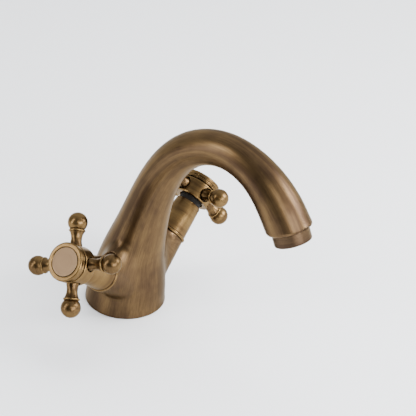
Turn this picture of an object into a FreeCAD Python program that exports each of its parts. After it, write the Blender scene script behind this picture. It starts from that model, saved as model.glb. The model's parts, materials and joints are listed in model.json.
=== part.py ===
import FreeCAD, Part
import Sketcher
import math
import os

# Two-handle basin mixer with a swan-neck spout and cross handles.
# +X is the spout's direction, +Z is up, and the origin is the centre of the foot on the deck.
# The hot side is -Y and the cold side is +Y.

SPINE = [
    # centre x, centre z and radius of the casting, from the foot to the outlet
    (0.0, 0.0, 25.0),
    (1.2, 12.0, 23.7),
    (4.5, 35.0, 19.7),
    (9.4, 55.0, 16.1),
    (16.2, 79.0, 13.2),
    (28.3, 105.8, 11.4),
    (45.1, 123.2, 10.5),
    (68.2, 130.2, 10.2),
    (91.3, 123.2, 11.2),
    (108.4, 106.4, 12.9),
    (113.7, 98.9, 13.1),
]
# count and ring radius of the holes through the aerator's insert and screen
INSERT_HOLES = ((6, 2.6), (12, 5.6))
SCREEN_HOLES = ((6, 1.7), (12, 3.4), (18, 5.1), (24, 6.7))
# how far a cutting shape runs past the metal
PAST = 1.0

DIMENSIONS = {
    # valve axes: both start at one point on the plane y = 0 and rise outwards
    "axis_x": 7.0,
    "axis_z": 12.6,
    "axis_rise": 36.3,
    # casting
    "spout_lean": 37.0,
    "outlet_lean": 25.0,
    "outlet_edge": 2.4,
    "boss_end": 38.5,
    "boss_radius": 10.2,
    "boss_root": 13.6,
    "boss_start": 6.0,
    "boss_blend": 7.0,
    "recess_radius": 17.5,
    "recess_depth": 8.0,
    "gasket_inner": 19.0,
    "gasket_outer": 22.0,
    "gasket_depth": 1.8,
    "water_radius": 6.8,
    "water_x": 2.2,
    "water_z": 26.0,
    "mixing_radius": 4.0,
    "mixing_z": 29.5,
    "mixing_half": 13.0,
    # inlets and fixing
    "inlet_y": 9.7,
    "inlet_radius": 4.46,
    "inlet_top": 18.0,
    "inlet_way": 3.0,
    "inlet_way_top": 20.5,
    "stud_x": -12.0,
    "stud_radius": 3.0,
    "stud_top": 19.0,
    "stud_bottom": -48.0,
    "stud_chamfer": 0.5,
    "stud_play": 0.2,
    "deck_gap": 20.0,
    "washer_thick": 3.0,
    "plate_thick": 2.5,
    "plate_radius": 24.0,
    "plate_slot": 15.0,
    "plate_slot_x": 9.0,
    "nut_height": 5.5,
    "nut_corner": 5.77,
    # valve chamber, measured along the valve axis
    "port_at": 10.5,
    "port_bore": 3.3,
    "seat_at": 18.0,
    "seat_radius": 8.4,
    "chamber_at": 19.5,
    "chamber_end": 27.5,
    "chamber_radius": 9.4,
    "thread_bore": 8.35,
    # headwork
    "skirt_at": 18.6,
    "skirt_inner": 7.0,
    "skirt_outer": 8.2,
    "thread_radius": 8.3,
    "window_at": 22.8,
    "window_height": 4.2,
    "window_width": 7.0,
    "cavity_top": 27.6,
    "seal_thick": 0.8,
    "seal_inner": 8.32,
    "gasket_bore": 3.2,
    "flange_radius": 9.05,
    "flange_top": 40.5,
    "hex_corner": 8.2,
    "hex_top": 45.0,
    "neck_radius": 6.3,
    "neck_thread": 6.9,
    "neck_thread_at": 52.0,
    "neck_thread_end": 58.0,
    "neck_top": 62.4,
    "spindle_bore": 4.0,
    # discs and seals
    "disc_at": 20.0,
    "disc_split": 22.4,
    "disc_end": 25.0,
    "disc_radius": 6.9,
    "port_offset": 3.5,
    "port_radius": 2.1,
    "tongue_length": 9.0,
    "tongue_width": 2.4,
    "tongue_height": 1.2,
    "disc_film": 0.02,
    # bonnet sleeve
    "lip_radius": 10.9,
    "lip_height": 1.6,
    "sleeve_low": 10.15,
    "sleeve_top_radius": 8.2,
    "sleeve_top": 61.0,
    "sleeve_inner": 9.25,
    "sleeve_bore": 6.95,
    "sleeve_step": 50.0,
    "sleeve_edge": 0.8,
    "sleeve_neck": 0.7,
    "sleeve_bow": 150.0,
    "lip_undercut": 0.35,
    "lip_curve": 0.93,
    "dust_outer": 7.3,
    "dust_top": 66.0,
    # spindle
    "spindle_radius": 3.95,
    "spindle_foot": 6.7,
    "spindle_top": 71.8,
    "square_at": 67.0,
    "oring_root": 2.88,
    "oring_wire": 0.53,
    "oring_half": 0.8,
    "oring_centre": 3.43,
    "oring_low": 47.2,
    "oring_high": 50.2,
    "clip_at": 62.6,
    "clip_thick": 0.9,
    "clip_inner": 3.2,
    "clip_outer": 5.6,
    "clip_mouth": 3.0,
    # handle, measured along the valve axis
    "cross_at": 70.0,
    "hub_radius": 11.5,
    "hub_bottom": 64.75,
    "hub_top": 75.6,
    "hub_edge": 0.8,
    "hub_counterbore": 8.3,
    "hub_web_at": 72.0,
    "hub_web_top": 73.2,
    "hub_recess": 7.6,
    "cap_neck": 10.6,
    "cap_at": 76.2,
    "cap_band": 11.35,
    "cap_band_top": 77.7,
    "cap_top": 80.6,
    "cap_roll": 1.45,
    "cap_bead": 11.45,
    "cap_step": 0.4,
    "cap_step_rise": 0.2,
    "cap_rim": 8.8,
    "cap_dish": 0.35,
    "cap_plug_at": 74.4,
    "cap_bore": 6.0,
    "index_radius": 8.45,
    "index_seat": 79.2,
    "index_thick": 1.15,
    "index_edge": 0.25,
    "screw_radius": 1.95,
    "screw_head": 3.5,
    "screw_head_height": 2.2,
    "screw_play": 0.2,
    "screw_socket": 1.3,
    "screw_bottom": 65.0,
    # arms, measured out from the valve axis
    "arm_turn": 23.8,
    "arm_inner": 6.6,
    "arm_shoulder": 9.8,
    "tenon_radius": 2.0,
    "tenon_end_play": 0.3,
    "arm_root": 3.7,
    "arm_pocket": 4.5,
    "arm_neck_at": 11.6,
    "arm_neck_bow": 9.8,
    "bead_at": 19.3,
    "bead_end": 20.7,
    "bead_radius": 4.3,
    "bead_round": 0.72,
    "arm_flare": 4.0,
    "arm_flare_at": 18.7,
    "ball_at": 24.9,
    "ball_radius": 5.82,
    # aerator, measured out of the outlet face
    "outlet_thread": 9.8,
    "outlet_depth": 9.5,
    "collar_radius": 10.8,
    "collar_height": 7.0,
    "collar_edge": 0.9,
    "aerator_thread": 9.75,
    "aerator_top": 8.0,
    "aerator_bore": 8.6,
    "aerator_lip": 7.6,
    "aerator_lip_height": 0.8,
    "insert_top": 7.5,
    "insert_bottom": 3.6,
    "insert_hole": 0.9,
    "screen_thick": 0.6,
    "screen_hole": 0.5,
    # radial gap of a running fit, and of a piece that is dropped into its seat
    "gap": 0.05,
    "loose": 0.1,
}

doc = FreeCAD.newDocument("basin_mixer")
sheet = doc.addObject("Spreadsheet::Sheet", "dims")


class Size:
    """A length or angle: its value, and the expression that binds it to the sheet."""

    def __init__(self, value, text):
        self.value = float(value)
        self.text = text

    def join(self, other, sign, value):
        text = other.text if isinstance(other, Size) else repr(float(other))
        return Size(value, f"({self.text} {sign} {text})")

    def __add__(self, other):
        return self.join(other, "+", self.value + number(other))

    def __radd__(self, other):
        return self + other

    def __sub__(self, other):
        return self.join(other, "-", self.value - number(other))

    def __rsub__(self, other):
        return -self + other

    def __mul__(self, other):
        return self.join(other, "*", self.value * number(other))

    def __neg__(self):
        return self * -1

    def root(self):
        return Size(math.sqrt(self.value), f"sqrt({self.text})")


def number(size):
    return size.value if isinstance(size, Size) else float(size)


def fill_sheet():
    """Write every driving dimension as a cell with an alias, and return the sizes by alias."""
    cells = dict(DIMENSIONS)
    for station, (x, z, radius) in enumerate(SPINE):
        cells[f"spine{station}_x"] = x
        cells[f"spine{station}_z"] = z
        cells[f"spine{station}_radius"] = radius
    for row, (alias, value) in enumerate(cells.items(), start=1):
        sheet.set(f"A{row}", alias)
        sheet.set(f"B{row}", str(value))
        sheet.setAlias(f"B{row}", alias)
    doc.recompute()
    return {alias: Size(value, f"dims.{alias}") for alias, value in cells.items()}


D = fill_sheet()
ORIGIN = FreeCAD.Vector(0, 0, 0)
X_AXIS = FreeCAD.Vector(1, 0, 0)
Y_AXIS = FreeCAD.Vector(0, 1, 0)
Z_AXIS = FreeCAD.Vector(0, 0, 1)
SIDES = {"hot": -1, "cold": 1}
pieces = []


def moved(x=0.0, y=0.0, z=0.0, axis=Z_AXIS, angle=0.0):
    base = FreeCAD.Vector(number(x), number(y), number(z))
    return FreeCAD.Placement(base, FreeCAD.Rotation(axis, number(angle)))


def valve_frame(side):
    """The frame of one valve: its Z runs outwards along the valve axis, its X along the spout."""
    tilt = -SIDES[side] * (90.0 - number(D["axis_rise"]))
    return moved(x=D["axis_x"], z=D["axis_z"], axis=X_AXIS, angle=tilt)


def outlet_frame():
    """The frame of the outlet: its Z runs out of the spout's face."""
    last = len(SPINE) - 1
    turn = 180.0 - number(D["outlet_lean"])
    return moved(x=D[f"spine{last}_x"], z=D[f"spine{last}_z"], axis=Y_AXIS, angle=turn)


def arm_turn(side, quarter):
    """One arm's frame as seen in its valve's frame: its Z runs out from the valve axis."""
    turn = 90.0 * quarter - SIDES[side] * number(D["arm_turn"])
    return moved(z=D["cross_at"], angle=turn).multiply(moved(axis=Y_AXIS, angle=90.0))


def new_body(name, frame=None):
    body = doc.addObject("PartDesign::Body", name)
    body.Label = name
    if frame is not None:
        body.Placement = frame
    pieces.append(body)
    return body


def origin_plane(body, role):
    return next(feature for feature in body.Origin.OriginFeatures if feature.Role == role)


def new_sketch(body, name, role, offset=None):
    sketch = body.newObject("Sketcher::SketchObject", name)
    sketch.AttachmentSupport = [(origin_plane(body, role), "")]
    sketch.MapMode = "FlatFace"
    if offset is not None:
        sketch.AttachmentOffset = offset
    return sketch


def drive(sketch, constraint, size):
    """Add a dimension to a sketch and bind it to the sheet."""
    index = sketch.addConstraint(constraint)
    if isinstance(size, Size):
        sketch.setExpression(f"Constraints[{index}]", size.text)


def pin_point(sketch, geometry, end, x, y):
    """Fix one end of a sketch element at driven coordinates."""
    for kind, axis, size in (("DistanceX", -2, x), ("DistanceY", -1, y)):
        if abs(number(size)) < 1e-9:
            sketch.addConstraint(Sketcher.Constraint("PointOnObject", geometry, end, axis))
        else:
            rule = Sketcher.Constraint(kind, -1, 1, geometry, end, number(size))
            drive(sketch, rule, size)


def arc_between(start, end, radius, side):
    """The shorter arc from start to end, with its centre left (+1) or right (-1) of the way."""
    chord = end - start
    half = chord.Length / 2.0
    across = FreeCAD.Vector(-chord.y, chord.x, 0).normalize()
    centre = (start + end) * 0.5 + across * (side * math.sqrt(max(radius**2 - half**2, 0.0)))
    middle = centre - across * (side * radius)
    return Part.Arc(start, middle, end)


def draw_outline(sketch, points, arcs=None):
    """Draw a closed outline; arcs maps a point's index to (radius, side) for the run after it."""
    arcs = arcs or {}
    spots = [FreeCAD.Vector(number(x), number(y), 0) for x, y in points]
    ends = []
    for index, spot in enumerate(spots):
        following = spots[(index + 1) % len(spots)]
        if index in arcs:
            radius, side = arcs[index]
            shape = arc_between(spot, following, number(radius), side)
        else:
            shape = Part.LineSegment(spot, following)
        geometry = sketch.addGeometry(shape, False)
        forward = sketch.getPoint(geometry, 1).distanceToPoint(spot) < 1e-6
        ends.append((geometry, 1 if forward else 2, 2 if forward else 1))
    for index, (geometry, first, last) in enumerate(ends):
        after, after_first, after_last = ends[(index + 1) % len(ends)]
        sketch.addConstraint(Sketcher.Constraint("Coincident", geometry, last, after, after_first))
    for index, (geometry, first, last) in enumerate(ends):
        pin_point(sketch, geometry, first, *points[index])
        if index in arcs:
            radius = arcs[index][0]
            drive(sketch, Sketcher.Constraint("Radius", geometry, number(radius)), radius)


def turned(body, points, arcs=None):
    """Revolve an outline of (radius, height) points about the body's Z axis."""
    sketch = new_sketch(body, body.Name + "_outline", "XZ_Plane")
    draw_outline(sketch, points, arcs)
    solid = body.newObject("PartDesign::Revolution", body.Name + "_turned")
    solid.Profile = sketch
    solid.ReferenceAxis = (sketch, ["V_Axis"])
    solid.Angle = 360.0
    doc.recompute()
    return solid


def ring_points(inner, outer, low, high):
    return [(inner, low), (outer, low), (outer, high), (inner, high)]


def plug_points(radius, low, high):
    return ring_points(0.0, radius, low, high)


def primitive(body, kind, name, frame, **sizes):
    """Add or cut a primitive, with its sizes bound to the sheet."""
    shape = body.newObject("PartDesign::" + kind, f"{body.Name}_{name}")
    for key, size in sizes.items():
        setattr(shape, key, number(size))
        if isinstance(size, Size):
            shape.setExpression(key, size.text)
    shape.Placement = frame
    doc.recompute()
    return shape


def drill(body, name, radius, low, high, frame=None):
    """Cut a round hole between two heights of a frame."""
    start = (frame or moved()).multiply(moved(z=low))
    return primitive(body, "SubtractiveCylinder", name, start, Radius=radius, Height=high - low)


def prism(body, kind, name, corner, low, high, sides=6):
    shape = primitive(body, kind, name, moved(z=low), Circumradius=corner, Height=high - low)
    shape.Polygon = sides
    doc.recompute()
    return shape


def circle_edges(shape, radius, height):
    """Names of the round edges of this radius about Z at this height."""
    found = []
    for index, edge in enumerate(shape.Edges, start=1):
        curve = edge.Curve
        if not isinstance(curve, Part.Circle):
            continue
        near_axis = math.hypot(curve.Center.x, curve.Center.y) < 1e-3
        at_height = abs(curve.Center.z - number(height)) < 1e-3
        if near_axis and at_height and abs(curve.Radius - number(radius)) < 1e-3:
            found.append(f"Edge{index}")
    return found


def rounded(body, name, size, *circles):
    """Round the edges named by their (radius, height)."""
    base = body.Tip
    names = [edge for circle in circles for edge in circle_edges(base.Shape, *circle)]
    blend = body.newObject("PartDesign::Fillet", f"{body.Name}_{name}")
    blend.Base = (base, names)
    blend.Radius = number(size)
    if isinstance(size, Size):
        blend.setExpression("Radius", size.text)
    doc.recompute()
    return blend


def spine_frames():
    """A frame at each station of the casting's centre line, with Z along the line."""
    spots = [FreeCAD.Vector(x, 0, z) for x, z, radius in SPINE]
    lean = math.radians(number(D["spout_lean"]))
    way_out = FreeCAD.Vector(math.sin(lean), 0, -math.cos(lean))
    curve = Part.BSplineCurve()
    curve.interpolate(Points=spots, InitialTangent=Z_AXIS, FinalTangent=way_out)
    frames = []
    for spot in spots[:-1]:
        tangent = curve.tangent(curve.parameter(spot))[0]
        turn = math.degrees(math.atan2(tangent.x, tangent.z))
        frames.append(moved(x=spot.x, z=spot.z, axis=Y_AXIS, angle=turn))
    return frames + [outlet_frame()]


def loft(body, kind, name, stations, radius_of, lead_in=None):
    """Loft circles on the spine's frames; lead_in is a first section of its own."""
    frames = spine_frames()
    sections = [(frames[station], radius_of(station)) for station in stations]
    if lead_in is not None:
        sections.insert(0, lead_in)
    sketches = []
    for index, (frame, radius) in enumerate(sections):
        sketch = new_sketch(body, f"{body.Name}_{name}_{index}", "XY_Plane", frame)
        circle = sketch.addGeometry(Part.Circle(ORIGIN, Z_AXIS, number(radius)), False)
        sketch.addConstraint(Sketcher.Constraint("Coincident", circle, 3, -1, 1))
        drive(sketch, Sketcher.Constraint("Radius", circle, number(radius)), radius)
        sketches.append(sketch)
    shape = body.newObject("PartDesign::" + kind, f"{body.Name}_{name}")
    shape.Profile = sketches[0]
    shape.Sections = sketches[1:]
    shape.Ruled = False
    doc.recompute()
    return shape


def body_casting():
    """The one-piece cast body: foot, two valve bosses and swan-neck spout, with its waterways."""
    body = new_body("body_casting")
    last = len(SPINE) - 1
    loft(body, "AdditiveLoft", "skin", range(last + 1), lambda k: D[f"spine{k}_radius"])
    for side in SIDES:
        start = valve_frame(side).multiply(moved(z=D["boss_start"]))
        primitive(
            body, "AdditiveCone", side + "_boss", start,
            Radius1=D["boss_root"], Radius2=D["boss_radius"], Height=D["boss_end"] - D["boss_start"],
        )
    blend_bosses(body)
    round_outlet(body)
    lead_in = (moved(x=D["water_x"], z=D["water_z"]), D["water_radius"])
    loft(body, "SubtractiveLoft", "water", range(2, last + 1), lambda k: D["water_radius"], lead_in)
    drill(body, "socket", D["outlet_thread"], -D["outlet_depth"], PAST, outlet_frame())
    drill(body, "recess", D["recess_radius"], 0.0, D["recess_depth"])
    groove = new_sketch(body, "gasket_groove_outline", "XZ_Plane")
    draw_outline(groove, ring_points(D["gasket_inner"], D["gasket_outer"], 0.0, D["gasket_depth"]))
    cut = body.newObject("PartDesign::Groove", "gasket_groove")
    cut.Profile = groove
    cut.ReferenceAxis = (groove, ["V_Axis"])
    cut.Angle = 360.0
    doc.recompute()
    stud = moved(x=D["stud_x"])
    drill(body, "stud_hole", D["stud_radius"] + D["gap"], 0.0, D["stud_top"], stud)
    for side, sign in SIDES.items():
        valve_bore(body, side)
        inlet = moved(x=D["axis_x"], y=sign * number(D["inlet_y"]))
        drill(body, side + "_inlet", D["inlet_radius"], 0.0, D["inlet_top"], inlet)
        riser = D["inlet_top"] - PAST
        drill(body, side + "_riser", D["inlet_way"], riser, D["inlet_way_top"], inlet)
    across = moved(x=D["axis_x"], z=D["mixing_z"], axis=X_AXIS, angle=-90.0)
    drill(body, "mixing_way", D["mixing_radius"], -D["mixing_half"], D["mixing_half"], across)


def valve_bore(body, side):
    """The stepped bore of one valve: port, seat, chamber and thread."""
    upright = valve_frame(side).multiply(moved(axis=X_AXIS, angle=90.0))
    outline = new_sketch(body, side + "_bore_outline", "XY_Plane", upright)
    outside = D["boss_end"] + PAST
    draw_outline(outline, [
        (0.0, D["port_at"]),
        (D["port_bore"], D["port_at"]),
        (D["port_bore"], D["seat_at"]),
        (D["seat_radius"], D["seat_at"]),
        (D["seat_radius"], D["chamber_at"]),
        (D["chamber_radius"], D["chamber_at"]),
        (D["chamber_radius"], D["chamber_end"]),
        (D["thread_bore"], D["chamber_end"]),
        (D["thread_bore"], outside),
        (0.0, outside),
    ])
    cut = body.newObject("PartDesign::Groove", side + "_bore")
    cut.Profile = outline
    cut.ReferenceAxis = (outline, ["V_Axis"])
    cut.Angle = 360.0
    doc.recompute()


def blend_bosses(body):
    """Round the seams where the bosses leave the body."""
    base = body.Tip
    seams = []
    for index, edge in enumerate(base.Shape.Edges, start=1):
        faces = base.Shape.ancestorsOfType(edge, Part.Face)
        kinds = {type(face.Surface).__name__ for face in faces}
        if "Cone" in kinds and len(kinds) > 1 and "Plane" not in kinds:
            seams.append(f"Edge{index}")
    blend = body.newObject("PartDesign::Fillet", "boss_blend")
    blend.Base = (base, seams)
    blend.Radius = number(D["boss_blend"])
    blend.setExpression("Radius", D["boss_blend"].text)
    doc.recompute()


def round_outlet(body):
    """Round the outer edge of the spout's face."""
    base = body.Tip
    face_centre = outlet_frame().Base
    rims = []
    for index, edge in enumerate(base.Shape.Edges, start=1):
        if edge.CenterOfMass.distanceToPoint(face_centre) < 0.5:
            rims.append(f"Edge{index}")
    blend = body.newObject("PartDesign::Fillet", "outlet_rim")
    blend.Base = (base, rims)
    blend.Radius = number(D["outlet_edge"])
    blend.setExpression("Radius", D["outlet_edge"].text)
    doc.recompute()


def aerator():
    """The aerator: housing with its collar, flow insert, screen and gasket."""
    housing = new_body("aerator_housing", outlet_frame())
    lip = D["collar_height"] - D["aerator_lip_height"]
    turned(housing, [
        (D["aerator_bore"], -D["aerator_top"]),
        (D["aerator_thread"], -D["aerator_top"]),
        (D["aerator_thread"], 0.0),
        (D["collar_radius"], 0.0),
        (D["collar_radius"], D["collar_height"]),
        (D["aerator_lip"], D["collar_height"]),
        (D["aerator_lip"], lip),
        (D["aerator_bore"], lip),
    ])
    rounded(housing, "edge", D["collar_edge"], (D["collar_radius"], D["collar_height"]))

    insert = new_body("aerator_insert", outlet_frame())
    inside = D["aerator_bore"] - D["loose"]
    top = -D["insert_top"]
    turned(insert, plug_points(inside, top, D["insert_bottom"]))
    for count, radius in INSERT_HOLES:
        perforate(insert, count, radius, D["insert_hole"], top, D["insert_bottom"])

    screen = new_body("aerator_screen", outlet_frame())
    low = lip - D["screen_thick"]
    turned(screen, plug_points(inside, low, lip))
    for count, radius in SCREEN_HOLES:
        perforate(screen, count, radius, D["screen_hole"], low, lip)

    gasket = new_body("aerator_gasket", outlet_frame())
    outer = D["outlet_thread"] - D["loose"]
    turned(gasket, ring_points(D["water_radius"], outer, -D["outlet_depth"], -D["aerator_top"]))


def perforate(body, count, ring_radius, hole, low, high):
    """Drill a ring of holes with a polar pattern."""
    first = moved(x=ring_radius)
    cut = drill(body, f"hole_of_{count}", hole, low - PAST, high + PAST, first)
    ring = body.newObject("PartDesign::PolarPattern", f"{body.Name}_ring_of_{count}")
    ring.Originals = [cut]
    ring.Axis = (origin_plane(body, "Z_Axis"), [""])
    ring.Angle = 360.0
    ring.Occurrences = count
    body.Tip = ring
    doc.recompute()


def fixing():
    """The foot gasket, and the stud, washer, plate and nut that clamp the mixer to a deck."""
    gasket = new_body("base_gasket")
    inner = D["gasket_inner"] + D["loose"]
    outer = D["gasket_outer"] - D["loose"]
    turned(gasket, ring_points(inner, outer, 0.0, D["gasket_depth"]))

    stud = new_body("fixing_stud", moved(x=D["stud_x"]))
    stud_end = D["stud_top"] - D["stud_chamfer"]
    turned(stud, [
        (0.0, D["stud_bottom"]),
        (D["stud_radius"] - D["stud_chamfer"], D["stud_bottom"]),
        (D["stud_radius"], D["stud_bottom"] + D["stud_chamfer"]),
        (D["stud_radius"], stud_end),
        (0.0, stud_end),
    ])

    low = -D["deck_gap"] - D["washer_thick"]
    horseshoe("clamp_rubber_washer", low, D["washer_thick"])
    low = low - D["plate_thick"]
    horseshoe("clamp_plate", low, D["plate_thick"])

    nut = new_body("clamp_nut", moved(x=D["stud_x"]))
    bottom = low - D["nut_height"]
    prism(nut, "AdditivePrism", "hex", D["nut_corner"], bottom, low)
    drill(nut, "bore", D["stud_radius"] + D["gap"], bottom - PAST, low + PAST)


def horseshoe(name, low, thick):
    """A round plate with a slot open towards the spout for the hoses, and a hole for the stud."""
    body = new_body(name)
    primitive(body, "AdditiveCylinder", "disc", moved(z=low), Radius=D["plate_radius"], Height=thick)
    below = low - PAST
    above = low + thick + PAST
    drill(body, "slot_end", D["plate_slot"], below, above, moved(x=D["plate_slot_x"]))
    corner = moved(x=D["plate_slot_x"], y=-D["plate_slot"], z=below)
    primitive(
        body, "SubtractiveBox", "slot", corner,
        Length=D["plate_radius"], Width=D["plate_slot"] * 2, Height=above - below,
    )
    hole = D["stud_radius"] + D["stud_play"]
    drill(body, "stud_hole", hole, below, above, moved(x=D["stud_x"]))


def valve(side):
    """The fixed pieces of one valve: headwork, seals, lower disc, bonnet sleeve and dust ring."""
    frame = valve_frame(side)

    headwork = new_body(side + "_headwork_body", frame)
    seal_top = D["boss_end"] + D["seal_thick"]
    turned(headwork, [
        (D["skirt_inner"], D["skirt_at"]),
        (D["skirt_outer"], D["skirt_at"]),
        (D["skirt_outer"], D["chamber_end"]),
        (D["thread_radius"], D["chamber_end"]),
        (D["thread_radius"], seal_top),
        (D["flange_radius"], seal_top),
        (D["flange_radius"], D["flange_top"]),
        (D["neck_radius"], D["flange_top"]),
        (D["neck_radius"], D["neck_thread_at"]),
        (D["neck_thread"], D["neck_thread_at"]),
        (D["neck_thread"], D["neck_thread_end"]),
        (D["neck_radius"], D["neck_thread_end"]),
        (D["neck_radius"], D["neck_top"]),
        (D["spindle_bore"], D["neck_top"]),
        (D["spindle_bore"], D["cavity_top"]),
        (D["skirt_inner"], D["cavity_top"]),
    ])
    prism(headwork, "AdditivePrism", "hex", D["hex_corner"], D["flange_top"], D["hex_top"])
    bore_end = D["neck_top"] + PAST
    drill(headwork, "bore", D["spindle_bore"], D["cavity_top"] - PAST, bore_end)
    reach = D["skirt_outer"] + PAST
    corner = moved(x=D["window_width"] * -0.5, y=-reach, z=D["window_at"])
    primitive(
        headwork, "SubtractiveBox", "windows", corner,
        Length=D["window_width"], Width=reach * 2, Height=D["window_height"],
    )

    seal = new_body(side + "_headwork_seal", frame)
    outer = D["flange_radius"] - D["gap"]
    turned(seal, ring_points(D["seal_inner"], outer, D["boss_end"], seal_top))

    gasket = new_body(side + "_seat_gasket", frame)
    turned(gasket, ring_points(D["gasket_bore"], D["disc_radius"], D["seat_at"], D["disc_at"]))

    lower = new_body(side + "_fixed_disc", frame)
    turned(lower, plug_points(D["disc_radius"], D["disc_at"], D["disc_split"]))
    drill_ports(lower, D["disc_at"], D["disc_split"])

    sleeve = new_body(side + "_bonnet_sleeve", frame)
    lip = D["lip_radius"] - D["lip_undercut"]
    lip_top = D["boss_end"] + D["lip_height"]
    turned(sleeve, [
        (D["sleeve_inner"], D["boss_end"]),
        (lip, D["boss_end"]),
        (lip, lip_top),
        (D["sleeve_low"], lip_top + D["sleeve_neck"]),
        (D["sleeve_top_radius"], D["sleeve_top"] - D["sleeve_edge"]),
        (D["sleeve_top_radius"] - D["sleeve_edge"], D["sleeve_top"]),
        (D["sleeve_bore"], D["sleeve_top"]),
        (D["sleeve_bore"], D["sleeve_step"]),
        (D["sleeve_bore"] + D["sleeve_edge"], D["sleeve_step"]),
        (D["sleeve_inner"], D["flange_top"] + D["seal_thick"]),
    ], arcs={
        1: (D["lip_curve"], 1),
        3: (D["sleeve_bow"], -1),
        4: (D["sleeve_edge"], 1),
    })

    dust = new_body(side + "_dust_ring", frame)
    inner = D["neck_radius"] + D["gap"]
    turned(dust, ring_points(inner, D["dust_outer"], D["sleeve_top"], D["dust_top"]))


def drill_ports(body, low, high):
    """The two water ports of a ceramic disc."""
    for index, way in enumerate((-1, 1)):
        port = moved(y=D["port_offset"] * way)
        drill(body, f"port{index}", D["port_radius"], low - PAST, high + PAST, port)


def handle(side):
    """The pieces that turn with one handle: spindle, upper disc, hub, arms, cap and screw."""
    frame = valve_frame(side)

    upper = new_body(side + "_moving_disc", frame)
    low = D["disc_split"] + D["disc_film"]
    turned(upper, plug_points(D["disc_radius"] - D["loose"], low, D["disc_end"]))
    drill_ports(upper, low, D["disc_end"])
    tongue(upper, "SubtractiveBox", D["loose"], D["disc_end"] + PAST)

    spindle = new_body(side + "_spindle", frame)
    turned(spindle, [
        (0.0, D["disc_end"]),
        (D["spindle_foot"], D["disc_end"]),
        (D["spindle_foot"], D["cavity_top"] - D["loose"]),
        (D["spindle_radius"], D["cavity_top"] - D["loose"]),
        *groove(D["oring_low"], D["oring_root"]),
        *groove(D["oring_high"], D["oring_root"]),
        (D["spindle_radius"], D["clip_at"]),
        (D["clip_inner"] - D["gap"], D["clip_at"]),
        (D["clip_inner"] - D["gap"], D["clip_at"] + D["clip_thick"]),
        (D["spindle_radius"], D["clip_at"] + D["clip_thick"]),
        (D["spindle_radius"], D["square_at"]),
        (0.0, D["square_at"]),
    ])
    prism(
        spindle, "AdditivePrism", "square", D["spindle_radius"],
        D["square_at"], D["spindle_top"], sides=4,
    )
    tongue(spindle, "AdditiveBox", 0.0, D["disc_end"])
    screw_hole = D["screw_radius"] + D["gap"]
    screw_hole_end = D["screw_bottom"] - D["tenon_end_play"]
    drill(spindle, "screw_hole", screw_hole, screw_hole_end, D["spindle_top"] + PAST)

    orings = new_body(side + "_spindle_orings", frame)
    for index, height in enumerate((D["oring_low"], D["oring_high"])):
        primitive(
            orings, "AdditiveTorus", f"ring{index}", moved(z=height),
            Radius1=D["oring_centre"], Radius2=D["oring_wire"],
        )

    clip = new_body(side + "_spindle_clip", frame)
    clip_top = D["clip_at"] + D["clip_thick"]
    turned(clip, ring_points(D["clip_inner"], D["clip_outer"], D["clip_at"], clip_top))
    mouth = moved(y=D["clip_mouth"] * -0.5, z=D["clip_at"] - PAST)
    primitive(
        clip, "SubtractiveBox", "mouth", mouth,
        Length=D["clip_outer"] + PAST, Width=D["clip_mouth"], Height=D["clip_thick"] + PAST * 2,
    )

    hub(side, frame)
    cap(side, frame)

    screw = new_body(side + "_handle_screw", frame)
    head_top = D["hub_web_top"] + D["screw_head_height"]
    turned(screw, [
        (0.0, D["screw_bottom"]),
        (D["screw_radius"], D["screw_bottom"]),
        (D["screw_radius"], D["hub_web_top"]),
        (D["screw_head"], D["hub_web_top"]),
        (D["screw_head"], head_top),
        (0.0, head_top),
    ])
    socket = head_top - D["screw_socket"]
    prism(screw, "SubtractivePrism", "hex_socket", D["screw_radius"], socket, head_top + PAST)

    for quarter in range(4):
        arm(f"{side}_arm_{quarter + 1}", frame.multiply(arm_turn(side, quarter)))


def tongue(body, kind, slack, top):
    """The tongue, or its slot, that drives the upper disc from the spindle."""
    length = D["tongue_length"] + slack
    width = D["tongue_width"] + slack
    low = D["disc_end"] - D["tongue_height"]
    corner = moved(x=length * -0.5, y=width * -0.5, z=low)
    primitive(body, kind, "tongue", corner, Length=length, Width=width, Height=top - low)


def groove(height, root):
    """Outline points of one O-ring groove in the spindle."""
    low = height - D["oring_half"]
    high = height + D["oring_half"]
    outer = D["spindle_radius"]
    return [(outer, low), (root, low), (root, high), (outer, high)]


def hub(side, frame):
    """The hub of the cross handle, with pockets for four arms."""
    body = new_body(side + "_handle_hub", frame)
    screw_hole = D["screw_radius"] + D["screw_play"]
    turned(body, [
        (D["hub_counterbore"], D["hub_bottom"]),
        (D["hub_radius"], D["hub_bottom"]),
        (D["hub_radius"], D["hub_top"]),
        (D["hub_recess"], D["hub_top"]),
        (D["hub_recess"], D["hub_web_top"]),
        (screw_hole, D["hub_web_top"]),
        (screw_hole, D["square_at"]),
        (D["hub_counterbore"], D["square_at"]),
    ])
    edges = ((D["hub_radius"], D["hub_bottom"]), (D["hub_radius"], D["hub_top"]))
    rounded(body, "edges", D["hub_edge"], *edges)
    socket = D["spindle_radius"] + D["gap"]
    socket_mouth = D["square_at"] - D["loose"]
    prism(body, "SubtractivePrism", "socket", socket, socket_mouth, D["hub_web_at"], sides=4)
    tenon = D["tenon_radius"] + D["gap"]
    tenon_end = D["arm_inner"] - D["tenon_end_play"]
    outside = D["hub_radius"] + PAST
    for quarter in range(4):
        out = arm_turn(side, quarter)
        drill(body, f"tenon{quarter}", tenon, tenon_end, D["arm_shoulder"] + D["loose"], out)
        drill(body, f"pocket{quarter}", D["arm_pocket"], D["arm_shoulder"], outside, out)


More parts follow.
